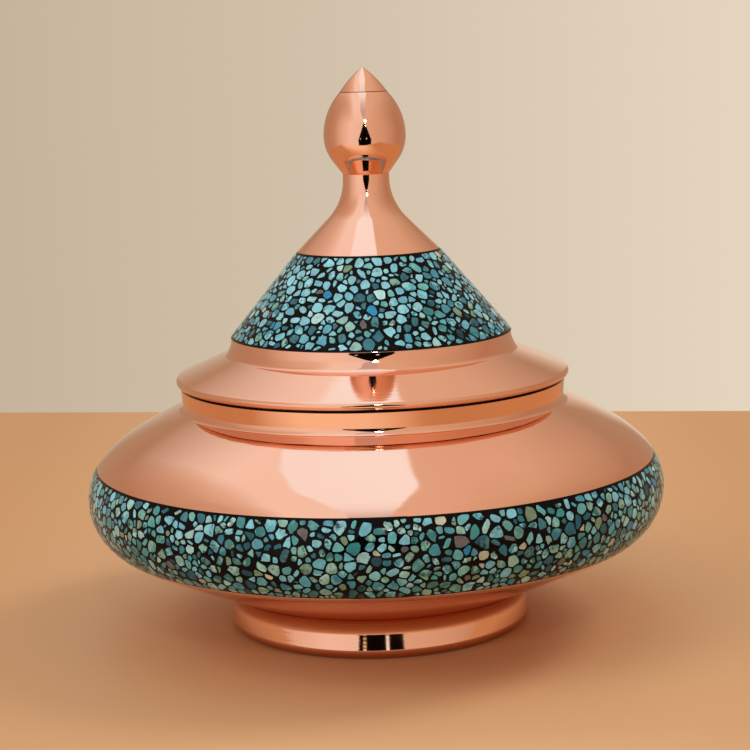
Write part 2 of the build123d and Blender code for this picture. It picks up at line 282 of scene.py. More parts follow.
step_centre = polar(cone_base, step_round, -step_undercut)
step_end = polar(step_centre, -step_round, step_foot)
step_drop = (step_end.y - brim(step_end.x).y) / (
    1 / math.tan(math.radians(step_foot)) - math.tan(math.radians(brim_slope))
)
step_corner = step_end + at(step_drop, -step_drop / math.tan(math.radians(step_foot)))
lower_ledge = cone_point(inlay_depth, 0).y
ledge_lean = math.degrees(math.asin((step_centre.y - lower_ledge) / step_round))
flank_lean = math.tan(math.radians(foot_lean))
cove_height = underside(foot_radius).y / (1 + flank_lean * underside_rise)  # the flank meets the underside
upper_ledge_edge = polar(cone_top, strip_width, 180 - spire_slope)
upper_ledge = upper_ledge_edge.y
waist_radius = neck_radius + spire_round * (1 - math.sin(math.radians(spire_slope)))
spire_run = (cone_top.x - waist_radius) / math.cos(math.radians(spire_slope))
waist = polar(cone_top, spire_run, 180 - spire_slope)
neck_height = waist.y + spire_round * math.cos(math.radians(spire_slope))
crease = at(neck_radius, neck_height + crease_rise)
flank_radius = bulb_radius - bulb_round * (1 - math.sin(math.radians(bulb_base_slope)))
flank_length = (flank_radius - neck_radius) / math.cos(math.radians(bulb_base_slope))
flank = polar(crease, flank_length, bulb_base_slope)
bulb_height = flank.y + bulb_round * math.cos(math.radians(bulb_base_slope))
tip_turn = math.acos((bulb_cheek - bulb_radius + tip_radius) / bulb_cheek)
seam = at(tip_radius, bulb_height + bulb_cheek * math.sin(tip_turn))


# ---- Materials ----
def wire(tree, made, inputs):
    """Links or sets the inputs of a node."""
    for key, value in inputs.items():
        if isinstance(value, bpy.types.NodeSocket):
            tree.links.new(value, made.inputs[key])
        else:
            made.inputs[key].default_value = value


def node(tree, kind, inputs=None, **settings):
    """A new node, with its inputs linked or set."""
    made = tree.nodes.new(kind)
    for name, value in settings.items():
        setattr(made, name, value)
    wire(tree, made, inputs or {})
    return made


def opaque(colour):
    """A colour written as three numbers gets its fourth, and what a node gives stays as it is."""
    return (*colour, 1) if isinstance(colour, tuple) else colour


def ramp(tree, factor, stops, interpolation="LINEAR"):
    """A colour ramp with the given (place, colour) stops."""
    made = node(tree, "ShaderNodeValToRGB", {"Fac": factor})
    made.color_ramp.interpolation = interpolation
    elements = made.color_ramp.elements
    while len(elements) < len(stops):
        elements.new(0.5)
    for element, (place, colour) in zip(elements, stops):
        element.position = place
        element.color = opaque(colour)
    return made.outputs["Color"]


mix_factor, mix_first, mix_second, mix_result = 0, 6, 7, 2      # sockets of a mix of colours


def blended(tree, factor, first, second):
    """Two colours mixed by factor."""
    inputs = {mix_factor: factor, mix_first: opaque(first), mix_second: opaque(second)}
    return node(tree, "ShaderNodeMix", inputs, data_type="RGBA").outputs[mix_result]


def shader(name):
    """A new material with its tree, its shader and its object coordinates."""
    material = bpy.data.materials.new(name)
    material.use_nodes = True
    tree = material.node_tree
    principled = tree.nodes["Principled BSDF"]
    place = node(tree, "ShaderNodeTexCoord").outputs["Object"]
    return material, tree, principled, place


def srgb(red, green, blue):
    """A linear colour from the eight-bit values a designer would name."""
    return tuple(
        (value / 255 / 12.92) if value <= 10 else ((value / 255 + 0.055) / 1.055) ** 2.4
        for value in (red, green, blue)
    )


def maths(tree, operation, *values):
    """The result of a sum on numbers or on what other nodes give."""
    made = node(tree, "ShaderNodeMath", dict(enumerate(values)), operation=operation)
    return made.outputs[0]


def ranged(tree, value, from_low, from_high, to_low, to_high):
    """A number carried from one range to another, and held at its ends."""
    limits = {"From Min": from_low, "From Max": from_high, "To Min": to_low, "To Max": to_high}
    return node(tree, "ShaderNodeMapRange", {"Value": value, **limits}).outputs[0]


def between(tree, value, low, high, soft):
    """One between low and high, and nothing outside them."""
    risen = ranged(tree, value, low - soft, low, 0.0, 1.0)
    fallen = ranged(tree, value, high, high + soft, 1.0, 0.0)
    return maths(tree, "MULTIPLY", risen, fallen)


copper_shades = [           # soft dents vary the metal's colour a little
    (0.3, (0.91, 0.53, 0.39)),
    (0.7, (0.95, 0.57, 0.43)),
]
# Painted shade: a deeper red under the belly and in the cove, standing for the shaded table and copper that
# these faces mirror.
cove_shade_copper = (0.80, 0.33, 0.17)
cove_shade_low = 11.0          # painted shade: between these heights the copper is painted that deeper red
cove_shade_high = 22.0
cove_shade_soft = 4.0
# Painted shade: the foot's bead is painted darker low down, standing for the shaded table that it mirrors.
foot_shade_copper = (0.62, 0.25, 0.13)
foot_shade_low = 1.2              # painted shade, darkest up to here, where the foot stands
foot_shade_high = 3.2             # and gone from here up
seat_shadow = (0.012, 0.007, 0.005)
seat_low = 0.4              # the shadow of the closed lid's joint starts this far below the collar's rim
seat_high = 0.12            # and ends this far below the lid's seat
seam_shadow = (0.24, 0.11, 0.07)
seam_low = 0.09             # the seam's line, below and above the seam's height
seam_high = 0.06
shadow_soft = 0.08
ring_scale = 1400           # fine rings from the lathe
ring_depth = 0.02           # in millimetres, as the other depths
ring_drift = 0.02           # how little the rings change round the bowl
dent_scale = 28             # soft dents, as handling leaves
dent_depth = 0.4
dent_strength = 0.25
smudge_scale = 60
smudge_edge = (0.3, 0.75)   # how sharply a smudge ends, as values of its noise
smudge_dulling = 2.2        # a smudge is this many times as rough as the clean metal


def polished_copper(name, roughness, marks):
    """Spun copper: fine rings from the lathe, soft dents and a few wiped smudges, with painted shade under
    the belly, in the cove and round the foot, and painted shadow lines at the lid's seat and the tip's seam.
    """
    material, tree, principled, place = shader(name)
    split = node(tree, "ShaderNodeSeparateXYZ", {"Vector": place})
    flat = node(tree, "ShaderNodeVectorMath", {0: place, 1: (1, 1, 0)}, operation="MULTIPLY")
    radius = node(tree, "ShaderNodeVectorMath", {0: flat.outputs[0]}, operation="LENGTH").outputs["Value"]
    height = split.outputs["Z"]
    section = node(tree, "ShaderNodeCombineXYZ", {"X": radius, "Y": height})
    little = (ring_drift, ring_drift, 0)
    drift = node(tree, "ShaderNodeVectorMath", {0: place, 1: little}, operation="MULTIPLY")
    around = node(tree, "ShaderNodeVectorMath", {0: section.outputs[0], 1: drift.outputs[0]}).outputs[0]
    rings = node(tree, "ShaderNodeTexNoise", {"Vector": around, "Scale": ring_scale, "Detail": 3})
    dents = node(tree, "ShaderNodeTexNoise", {"Vector": place, "Scale": dent_scale, "Detail": 1})
    smudges = node(
        tree, "ShaderNodeTexNoise", {"Vector": place, "Scale": smudge_scale, "Detail": 5, "Roughness": 0.6}
    )
    ringed = node(
        tree,
        "ShaderNodeBump",
        {"Strength": marks, "Distance": ring_depth * mm, "Height": rings.outputs["Fac"]},
    )
    dented = node(
        tree,
        "ShaderNodeBump",
        {
            "Strength": dent_strength,
            "Distance": dent_depth * mm,
            "Height": dents.outputs["Fac"],
            "Normal": ringed.outputs[0],
        },
    )
    tone = ramp(tree, dents.outputs["Fac"], copper_shades)
    # painted shade under the belly and in the cove
    cove_shade = between(tree, height, cove_shade_low * mm, cove_shade_high * mm, cove_shade_soft * mm)
    tone = blended(tree, cove_shade, tone, cove_shade_copper)
    # painted shade round the foot's bead
    foot_shade = ranged(tree, height, foot_shade_low * mm, foot_shade_high * mm, 1.0, 0.0)
    tone = blended(tree, foot_shade, tone, foot_shade_copper)
    seat = between(
        tree, height, (rim_height - seat_low) * mm, (seat_height - seat_high) * mm, shadow_soft * mm
    )
    tone = blended(tree, seat, tone, seat_shadow)
    joint = between(tree, height, (seam.y - seam_low) * mm, (seam.y + seam_high) * mm, shadow_soft * mm)
    tone = blended(tree, joint, tone, seam_shadow)
    rough = ranged(tree, smudges.outputs["Fac"], *smudge_edge, roughness, roughness * smudge_dulling)
    wire(tree, principled, {"Base Color": tone, "Normal": dented.outputs[0]})
    wire(tree, principled, {"Roughness": rough, "Metallic": 1})
    return material


lac_shades = [              # black, with faint dust from the stones
    (0.55, (0.002, 0.002, 0.003)),
    (0.68, (0.004, 0.009, 0.010)),
    (0.76, (0.012, 0.035, 0.038)),
]
dust_scale = 1500
sink_scale = 500            # shallow sink marks between the chips
sink_depth = 0.08
sink_strength = 0.3
gloss = 0.06                # roughness of the lacquered inlay, chips and lac alike


def black_lac():
    """Polished black lac, with faint dust and shallow sink marks between the chips."""
    material, tree, principled, place = shader("black_lac")
    dust = node(
        tree, "ShaderNodeTexNoise", {"Vector": place, "Scale": dust_scale, "Detail": 4, "Roughness": 0.7}
    )
    sink = node(tree, "ShaderNodeTexNoise", {"Vector": place, "Scale": sink_scale, "Detail": 2})
    bump = node(
        tree,
        "ShaderNodeBump",
        {"Strength": sink_strength, "Distance": sink_depth * mm, "Height": sink.outputs["Fac"]},
    )
    tone = ramp(tree, dust.outputs["Fac"], lac_shades)
    wire(tree, principled, {"Base Color": tone, "Normal": bump.outputs[0]})
    wire(tree, principled, {"Roughness": gloss, "Specular IOR Level": 0.1})
    return material


speck_colour = srgb(30, 46, 46)
patch_scale = 420           # patches of a second colour
patch_edge = (0.48, 0.57)   # how sharply they end, as values of their noise
patch_veins = (0.38, 0.75)  # a chip has none below the first mark for veins, and all from the second
patch_most = 0.9
cloud_scale = 560           # lighter and darker clouds in a stone
cloud_edge = (0.25, 0.75)
cloud_depth = 0.3
speck_scale = 760           # dark specks of the mother rock
speck_edge = (0.54, 0.62)
speck_veins = (0.45, 0.85)
speck_most = 0.9
chip_light = (0.92, 1.2)    # the darkest and the lightest a chip may be, against its colour
noise_spread = 37.0         # sets each chip's patches apart from its neighbour's


def chip_stone(name, tones, patch_colour, vivid_colour, vivid_share):
    """Stone chips of one family of colours, each with its own tone, clouds, patches and specks."""
    material, tree, principled, place = shader(name)
    own = node(tree, "ShaderNodeAttribute", attribute_name="chip")
    parts = node(tree, "ShaderNodeSeparateColor", {"Color": own.outputs["Color"]})
    tone, veined, shade = parts.outputs[0], parts.outputs[1], parts.outputs[2]
    shifted = maths(tree, "MULTIPLY", shade, noise_spread)

    def cloudy(scale, detail, roughness):
        settings = {"Vector": place, "W": shifted, "Scale": scale, "Detail": detail, "Roughness": roughness}
        return node(tree, "ShaderNodeTexNoise", settings, noise_dimensions="4D").outputs["Fac"]

    vivid = ramp(tree, veined, [(0.0, (1, 1, 1)), (vivid_share, (0, 0, 0))], "CONSTANT")
    plain = blended(tree, vivid, ramp(tree, tone, tones), vivid_colour)
    patch = ranged(tree, cloudy(patch_scale, 3, 0.6), *patch_edge, 0.0, 1.0)
    patch_strength = maths(tree, "MULTIPLY", patch, ranged(tree, veined, *patch_veins, 0.0, patch_most))
    patched = blended(tree, patch_strength, plain, patch_colour)
    cloud = ranged(tree, cloudy(cloud_scale, 4, 0.6), *cloud_edge, 1 - cloud_depth, 1 + cloud_depth)
    strength = maths(tree, "MULTIPLY", cloud, ranged(tree, shade, 0.0, 1.0, *chip_light))
    clouded = node(tree, "ShaderNodeVectorMath", {0: patched, "Scale": strength}, operation="SCALE")
    speck = ranged(tree, cloudy(speck_scale, 4, 0.65), *speck_edge, 0.0, 1.0)
    speck_strength = maths(tree, "MULTIPLY", speck, ranged(tree, veined, *speck_veins, 0.0, speck_most))
    specked = blended(tree, speck_strength, clouded.outputs[0], speck_colour)
    wire(tree, principled, {"Base Color": specked, "Roughness": gloss, "Specular IOR Level": 0.22})
    return material


copper = polished_copper("copper", roughness=0.035, marks=0.35)
inner_copper = polished_copper("copper_inside", roughness=0.24, marks=1.0)
lac = black_lac()
stones = {
    "blue": chip_stone(
        "stone_blue",
        [
            (0.0, srgb(34, 98, 122)),
            (0.25, srgb(56, 134, 160)),
            (0.5, srgb(88, 166, 190)),
            (0.75, srgb(116, 190, 212)),
            (1.0, srgb(132, 202, 222)),
        ],
        patch_colour=srgb(140, 206, 216),
        vivid_colour=srgb(38, 136, 184),
        vivid_share=0.06,
    ),
    "green": chip_stone(
        "stone_green",
        [
            (0.0, srgb(28, 90, 96)),
            (0.35, srgb(56, 132, 140)),
            (0.7, srgb(82, 162, 170)),
            (1.0, srgb(108, 186, 196)),
        ],
        patch_colour=srgb(136, 184, 164),
        vivid_colour=srgb(114, 144, 120),
        vivid_share=0.08,
    ),
    "pale": chip_stone(
        "stone_pale",
        [
            (0.0, srgb(112, 154, 144)),
            (0.35, srgb(136, 186, 180)),
            (0.7, srgb(150, 204, 208)),
            (1.0, srgb(168, 218, 226)),
        ],
        patch_colour=srgb(108, 150, 138),
        vivid_colour=srgb(174, 182, 164),
        vivid_share=0.16,
    ),
    "dark": chip_stone(
        "stone_dark",
        [
            (0.0, srgb(16, 54, 70)),
            (0.4, srgb(26, 84, 106)),
            (0.75, srgb(42, 108, 130)),
            (1.0, srgb(68, 130, 148)),
        ],
        patch_colour=srgb(74, 122, 128),
        vivid_colour=srgb(98, 98, 102),
        vivid_share=0.12,
    ),
}


# ---- Copper pieces: one closed section each, spun round the axis ----
def add_piece(name, mesh, body, material, replaced):
    """A finished mesh as a piece that rides on its body and stands for the named nodes."""
    piece = bpy.data.objects.new(name, mesh)
    bpy.context.scene.collection.objects.link(piece)
    mesh.materials.append(material)
    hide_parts(*replaced)
    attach(piece, body)


def smooth(mesh):
    """Smooth faces, with the real corners kept sharp."""
    mesh.polygons.foreach_set("use_smooth", [True] * len(mesh.polygons))
    mesh.set_sharp_from_angle(angle=math.radians(sharp_turn))


def spun(name, section, body, replaced, material=copper, softened=edge_break):
    """A closed section spun into a ring or a closed form, with its edges softened."""
    bm = bmesh.new()
    verts = [bm.verts.new((point.x * mm, 0, point.y * mm)) for point in section]
    edges = [bm.edges.new(pair) for pair in zip(verts, verts[1:] + verts[:1])]
    bmesh.ops.spin(
        bm,
        geom=verts + edges,
        cent=(0, 0, 0),
        axis=(0, 0, 1),
        angle=2 * math.pi,
        steps=spin_steps,
        use_merge=True,
    )
    bmesh.ops.remove_doubles(bm, verts=bm.verts, dist=weld * mm)
    axis_edges = [edge for edge in bm.edges if not edge.link_faces]
    bmesh.ops.delete(bm, geom=axis_edges, context="EDGES")
    bmesh.ops.recalc_face_normals(bm, faces=bm.faces)
    corner = math.radians(corner_turn)
    corners = [edge for edge in bm.edges if edge.is_manifold and edge.calc_face_angle() > corner]
    bmesh.ops.bevel(
        bm,
        geom=corners,
        offset=softened * mm,
        offset_type="OFFSET",
        segments=2,
        profile=0.5,
        affect="EDGES",
        clamp_overlap=True,
        material=-1,
    )
    mesh = bpy.data.meshes.new(name)
    bm.to_mesh(mesh)
    bm.free()
    smooth(mesh)
    add_piece(name, mesh, body, material, replaced)


def foot_section():
    """The flared skirt, the cove, the leaning flank and the bead, with its edge turned in."""
    flare = underside(flare_radius)
    cove_corner = at(foot_radius - cove_height * flank_lean, cove_height)
    ground_corner = at(foot_radius, 0)
    lip = at(foot_radius - foot_lip, 0)
    outside = joined(
        [flare],
        eased(flare, cove_corner, ground_corner, cove_round),
        eased(cove_corner, ground_corner, lip, foot_round),
        [lip],
    )
    return joined(outside, beside(outside, -sheet)[::-1])


def lower_shell_section():
    """The flat bottom, the underside and the lower half of the trough, with its strip."""
    start = at(0, floor_height)
    floor_corner = at((floor_height - underside(0, sheet).y) / underside_rise, floor_height)
    rebate = polar(underside(flare_radius), sheet, 90 + underside_slope)
    outside = joined(
        [start],
        eased(start, floor_corner, rebate, floor_bend),
        [rebate, underside(flare_radius)],
        arc(bulge_centre, bulge, underside_slope - 90, band_low),
        arc(bulge_centre, bulge - inlay_depth, band_low, 0),
    )
    return joined(outside, beside(outside, sheet)[::-1])


def shoulder_section():
    """The upper half of the trough, with its strip, and the shoulder up to the mouth."""
    outside = joined(
        arc(bulge_centre, bulge - inlay_depth, 0, band_high),
        arc(bulge_centre, bulge, band_high, shoulder_start),
        arc(flatter_centre, shoulder_round, shoulder_start, 90 - shoulder_slope),
        shoulder_top,
    )
    inside = beside(outside, sheet)
    inside[-1] = shoulder_end - at(0, sheet)
    return joined(outside, inside[::-1])


def collar_section():
    """The neck round the mouth, from its round foot on the shoulder up to the rim."""
    corner = collar_foot(collar_radius)
    rim = at(collar_radius + rim_flare, rim_height)
    inner_rim = at(mouth_radius, rim_height)
    bend = eased(collar_foot(collar_radius + collar_bend), corner, rim, collar_bend)
    seat = bend[0].y - sheet / 2
    return joined(
        [at(mouth_radius, seat), at(bend[0].x, seat)],
        bend,
        eased(corner, rim, inner_rim, rim_round),
        eased(rim, inner_rim, at(mouth_radius, seat), rim_round),
    )


def brim_section():
    """The strip under the band, the hollow step, the brim, its rolled edge and the hem."""
    ledge_start = cone_inside(inlay_depth + sheet, lower_ledge)
    strip = arc(step_centre, step_round, 180 - step_undercut, 180 + ledge_lean)
    hollow = arc(step_centre, step_round, 180 + ledge_lean, 180 + step_foot)
    wall = joined(hollow, eased(step_end, step_corner, brim_edge, brim_cove))
    roll = arc(roll_centre, brim_roll, 90 - brim_slope, -90)
    hem = [roll[-1] - at(brim_hem, 0)]
    bent = joined([ledge_start], wall, roll, hem)
    outside = joined([ledge_start, cone_point(inlay_depth, 0)], strip, wall, roll, hem)
    return joined(outside, beside(bent, -sheet)[::-1])


def spire_section():
    """The strip above the band and the trumpet up to the crease under the bulb."""
    ledge_start = cone_inside(inlay_depth + sheet, upper_ledge)
    round_part = arc_on(waist, (waist - cone_top).normalized(), at(neck_radius, neck_height))
    bent = joined([ledge_start, upper_ledge_edge], round_part, [crease])
    band_edge = [cone_inside(inlay_depth, upper_ledge), cone_point(inlay_depth, cone_run), cone_top]
    outside = joined([ledge_start], band_edge, round_part, [crease])
    return joined(outside, beside(bent, sheet)[::-1])


def bulb_section():
    """The hollow bulb, with a spigot down in the neck."""
    spigot_radius = neck_radius - sheet
    spigot = [at(spigot_radius, crease.y - spigot_length), at(spigot_radius, crease.y), crease]
    round_part = arc_on(flank, (flank - crease).normalized(), at(bulb_radius, bulb_height))
    cheek = arc_on(at(bulb_radius, bulb_height), at(0, 1), seam)
    outside = joined(spigot, round_part, cheek)
    return joined(outside, beside(outside, sheet)[::-1])


def tip_section():
    """The pointed tip, with a plug down in the bulb."""
    plug = seam - sheet * at(math.cos(tip_turn), math.sin(tip_turn))
    peak = at(0, seam.y + tip_height)
    chord = peak - seam
    climb = math.degrees(math.atan2(*chord.yx))
    swell = math.degrees(2 * math.atan(2 * tip_swell / chord.length))
    side = arc_on(seam, heading(climb - swell), peak)
    slope = 180 - climb - swell
    ball = peak - at(0, tip_round / math.cos(math.radians(slope)))
    rounding = arc(ball, tip_round, 90 - slope, 90)
    side = [point for point in side if point.x > rounding[0].x]
    return joined(side, rounding, [at(0, plug.y - tip_plug), at(plug.x, plug.y - tip_plug), plug])


spun("foot", foot_section(), "bowl", ["foot_ring"])
spun("lower_shell", lower_shell_section(), "bowl", ["bowl_lower_shell", "belly_lower_strip"])
spun("shoulder", shoulder_section(), "bowl", ["bowl_shoulder", "belly_upper_strip"])
spun("collar", collar_section(), "bowl", ["bowl_collar"])
spun("brim", brim_section(), "lid", ["lid_brim", "lid_lower_strip"])
spun("spire", spire_section(), "lid", ["lid_spire", "lid_upper_strip"])
spun("bulb", bulb_section(), "lid", ["finial_bulb"])
spun("tip", tip_section(), "lid", ["finial_tip"], softened=fine_break)


# ---- Bands of stone chips ----
def belly_surface(inset, travel):
    """A point that far up the belly's band, and that far inside it."""
    return polar(bulge_centre, bulge - inset, band_low + math.degrees(travel / bulge))


# In each band, sizes are half a chip's width and how often a place is tried for it, the big ones first.
# The tones are the chips' darkest and lightest, and drift is painted light, shade and reflection: how much
# lighter they are at each bearing, in degrees, where -90 is the front.
belly = SimpleNamespace(
    name="belly",
    node_prefix="belly",
    body="bowl",
    run=math.radians(band_high - band_low) * bulge,
    surface=belly_surface,
    sizes=[(1.66, 260), (1.46, 700), (1.26, 1700), (1.04, 3400), (0.82, 5500), (0.62, 4500)],
    shares={"blue": 0.38, "green": 0.32, "pale": 0.16, "dark": 0.14},
    tones=(0.1, 0.9),
    drift=[(-180, 0.0), (-110, 0.05), (-60, -0.05), (0, 0.1), (90, -0.05), (180, 0.0)],
    least_veined=0.0,
    draw=random.Random(11),
)
cone = SimpleNamespace(
    name="cone",
    node_prefix="lid",
    body="lid",
    run=cone_run,
    surface=cone_point,
    sizes=[(1.64, 200), (1.48, 600), (1.32, 1300), (1.12, 2600), (0.92, 3200), (0.7, 3500), (0.55, 2000)],
    shares={"blue": 0.66, "green": 0.14, "pale": 0.08, "dark": 0.12},
    tones=(0.25, 1.0),
    drift=[
        (-180, 0.0),
        (-140, 0.1),
        (-115, 0.25),
        (-90, 0.25),
        (-70, -0.05),
        (-45, -0.15),
        (40, 0.1),
        (180, 0.0),
    ],
    least_veined=0.05,
    draw=random.Random(23),
)

chip_margin = 0.55          # bare lac between the copper and the chips
edge_room = 0.75            # a chip's middle keeps this many sizes from there
spread = 1.02               # two middles lie at least this many times their sizes apart
joint_least = 0.04          # half of the narrowest joint between two chips
joint_most = 0.2
pebble_corners = 9          # corners of a chip before its neighbours cut it
chip_reach = 1.9            # how far a chip may grow past its share, in sizes
neighbours = 13             # how many of the nearest chips cut it
long_share = 0.22           # chips that are broken off on both sides
broken_share = 0.3          # chips that are broken off on one side
break_least = 0.6           # where the break runs, in sizes from the middle
break_most = 0.88
corner_gap = 0.25           # corners nearer than this many sizes are one
round_least = 0.26
round_most = 0.5
jagged_share = 0.42
jagged_wear = 0.26          # how deep the outline of a jagged chip is worn
even_wear = 0.06
swelling = 0.06             # how far an outline may stand out
tone_rise = 0.3             # the chips grow lighter towards a band's upper edge
lac_steps = 24              # stretches across the band of the lac's face


def scatter(band):
    """Where the chips' middles lie, as turn, travel and radius, and their sizes, the big ones first."""
    turns, travels, radii, sizes = np.empty(0), np.empty(0), np.empty(0), np.empty(0)
    for size, tries in band.sizes:
        room = chip_margin + size * edge_room
        for _ in range(tries):
            turn = band.draw.uniform(-math.pi, math.pi)
            travel = band.draw.uniform(room, band.run - room)
            radius = band.surface(0, travel).x
            apart = np.abs(turns - turn)
            apart = np.minimum(apart, 2 * math.pi - apart) * radius
            clear = np.hypot(apart, travels - travel) - (sizes + size) * spread
            if clear.size == 0 or clear.min() > 0:
                turns = np.append(turns, turn)
                travels = np.append(travels, travel)
                radii = np.append(radii, radius)
                sizes = np.append(sizes, size)
    return SimpleNamespace(turns=turns, travels=travels, radii=radii, sizes=sizes)


def cut(bm, place, towards):
    """Takes away what lies past place, in the flat."""
    bmesh.ops.bisect_plane(
        bm,
        geom=bm.verts[:] + bm.edges[:] + bm.faces[:],
        plane_co=(*place, 0),
        plane_no=(*towards, 0),
        clear_outer=True,
    )


def cut_by_neighbours(bm, band, spots, index):
    """Leaves the share of the surface that is nearest to this chip, less a joint."""
    turn, travel, size = spots.turns[index], spots.travels[index], spots.sizes[index]
    turned = (spots.turns - turn + math.pi) % (2 * math.pi) - math.pi
    across = turned * (spots.radii[index] + spots.radii) / 2
    up = spots.travels - travel
    gaps = np.hypot(across, up)
    for other in np.argsort(gaps)[1 : neighbours + 1]:
        distance = gaps[other]
        towards = at(across[other], up[other]) / distance
        share = (distance + (size**2 - spots.sizes[other] ** 2) / distance) / 2
        joint = band.draw.uniform(joint_least, joint_most)
        if share - joint < size * chip_reach:
            cut(bm, towards * (share - joint), towards)
    cut(bm, at(0, band.run - chip_margin - travel), at(0, 1))
    cut(bm, at(0, chip_margin - travel), at(0, -1))


def break_off(bm, draw, size):
    """Breaks many chips off on one side, and some on both."""
    broken = draw.random()
    towards = heading(draw.uniform(0, 360))
    if broken < long_share + broken_share:
        cut(bm, towards * size * draw.uniform(break_least, break_most), towards)
    if broken < long_share:
        cut(bm, -towards * size * draw.uniform(break_least, break_most), -towards)


def wear_down(bm, draw):
    """Rounds a chip's outline and roughens it."""
    bmesh.ops.subdivide_edges(bm, edges=bm.edges, cuts=1)
    roundness = draw.uniform(round_least, round_most)
    bmesh.ops.smooth_vert(bm, verts=bm.verts, factor=roundness, use_axis_x=True, use_axis_y=True)
    wear = jagged_wear if draw.random() < jagged_share else even_wear
    for vert in bm.verts:
        vert.co *= 1 + draw.uniform(-wear, swelling)
    bmesh.ops.recalc_face_normals(bm, faces=bm.faces)
    if bm.faces[:][0].normal.z < 0:
        bmesh.ops.reverse_faces(bm, faces=bm.faces)


def highest_face(bm):
    """The face whose middle lies highest."""
    return max(bm.faces, key=lambda face: face.calc_center_median().z)


def thicken(bm):
    """Gives a flat chip its depth and a worn edge."""
    grown = bmesh.ops.extrude_face_region(bm, geom=bm.faces[:], use_keep_orig=True)
    raised = [vert for vert in grown["geom"] if isinstance(vert, bmesh.types.BMVert)]
    bmesh.ops.translate(bm, vec=(0, 0, chip_sink), verts=raised)
    bmesh.ops.recalc_face_normals(bm, faces=bm.faces)
    bmesh.ops.bevel(
        bm,
        geom=highest_face(bm).edges[:],
        offset=chip_edge,
        offset_type="OFFSET",
        segments=1,
        profile=0.5,
        affect="EDGES",
        clamp_overlap=True,
        material=-1,
    )
    bmesh.ops.poke(bm, faces=[highest_face(bm)])


def chip(band, spots, index):
    """One chip as a pebble that lies flat, its middle at the origin, in millimetres."""
    size = spots.sizes[index]
    bm = bmesh.new()
    bmesh.ops.create_circle(bm, cap_ends=True, segments=pebble_corners, radius=size * chip_reach)
    cut_by_neighbours(bm, band, spots, index)
    break_off(bm, band.draw, size)
    bmesh.ops.remove_doubles(bm, verts=bm.verts, dist=corner_gap * size)
    if len(bm.verts) > 2:
        wear_down(bm, band.draw)
        thicken(bm)
    return bm


def lay_flush(bm, band, turn, travel):
    """Lays a flat chip on its band's surface, with its face flush."""
    for vert in bm.verts:
        place = band.surface(chip_sink - vert.co.z, travel + vert.co.y)
        bearing = turn + vert.co.x / place.x
        vert.co = Vector((place.x * math.cos(bearing), place.x * math.sin(bearing), place.y)) * mm


def lay_chips(band):
    """All the chips of a band, as one piece for each family of colours."""
    spots = scatter(band)
    groups = {colour: (bmesh.new(), []) for colour in band.shares}
    laid = bpy.data.meshes.new("laid_chip")
    for index, (turn, travel) in enumerate(zip(spots.turns, spots.travels)):
        colour = band.draw.choices(list(band.shares), list(band.shares.values()))[0]
        # painted light, shade and reflection: each chip is made lighter or darker by its bearing
        drift = float(np.interp(math.degrees(turn), *zip(*band.drift)))
        drift += tone_rise * (travel / band.run - 0.5)
        tone = min(max(band.draw.uniform(*band.tones) + drift, 0.0), 1.0)
        own = (tone, band.draw.uniform(band.least_veined, 1.0), band.draw.random(), 1.0)
        pebble = chip(band, spots, index)
        if len(pebble.verts) > 2:
            lay_flush(pebble, band, turn, travel)
            pebble.to_mesh(laid)
            group, marks = groups[colour]
            group.from_mesh(laid)
            marks.extend([own] * len(pebble.verts))
        pebble.free()
    bpy.data.meshes.remove(laid)
    for colour, (group, marks) in groups.items():
        bmesh.ops.recalc_face_normals(group, faces=group.faces)
        mesh = bpy.data.meshes.new(f"{band.name}_chips_{colour}")
        group.to_mesh(mesh)
        group.free()
        chip_marks = mesh.attributes.new("chip", "FLOAT_COLOR", "POINT")
        chip_marks.data.foreach_set("color", np.array(marks, dtype=np.float32).ravel())
        smooth(mesh)
        stood_for = [f"{band.node_prefix}_stones_{colour}"]
        add_piece(mesh.name, mesh, band.body, stones[colour], stood_for)


def lac_section(band):
    """The lac from the trough to just under the faces of the chips."""
    travels = [band.run * step / lac_steps for step in range(lac_steps + 1)]
    outside = [band.surface(lac_sink, travel) for travel in travels]
    inside = [band.surface(inlay_depth, travel) for travel in travels]
    return joined(outside, inside[::-1])


for band in (belly, cone):
    lay_chips(band)
    bed = [f"{band.node_prefix}_lac_bed"]
    spun(f"{band.name}_lac", lac_section(band), band.body, bed, lac, lac_break)

for name in ("lid_skirt", "lid_cone"):
    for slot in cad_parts[name].material_slots:
        slot.material = inner_copper


# ---- Floor, backdrop and light ----
floor_back = 0.357          # the floor ends behind the bowl, before the backdrop
floor_front = -0.33
floor_side = 0.42
floor_turn = -9.6           # turns its far edge level in the view, in degrees
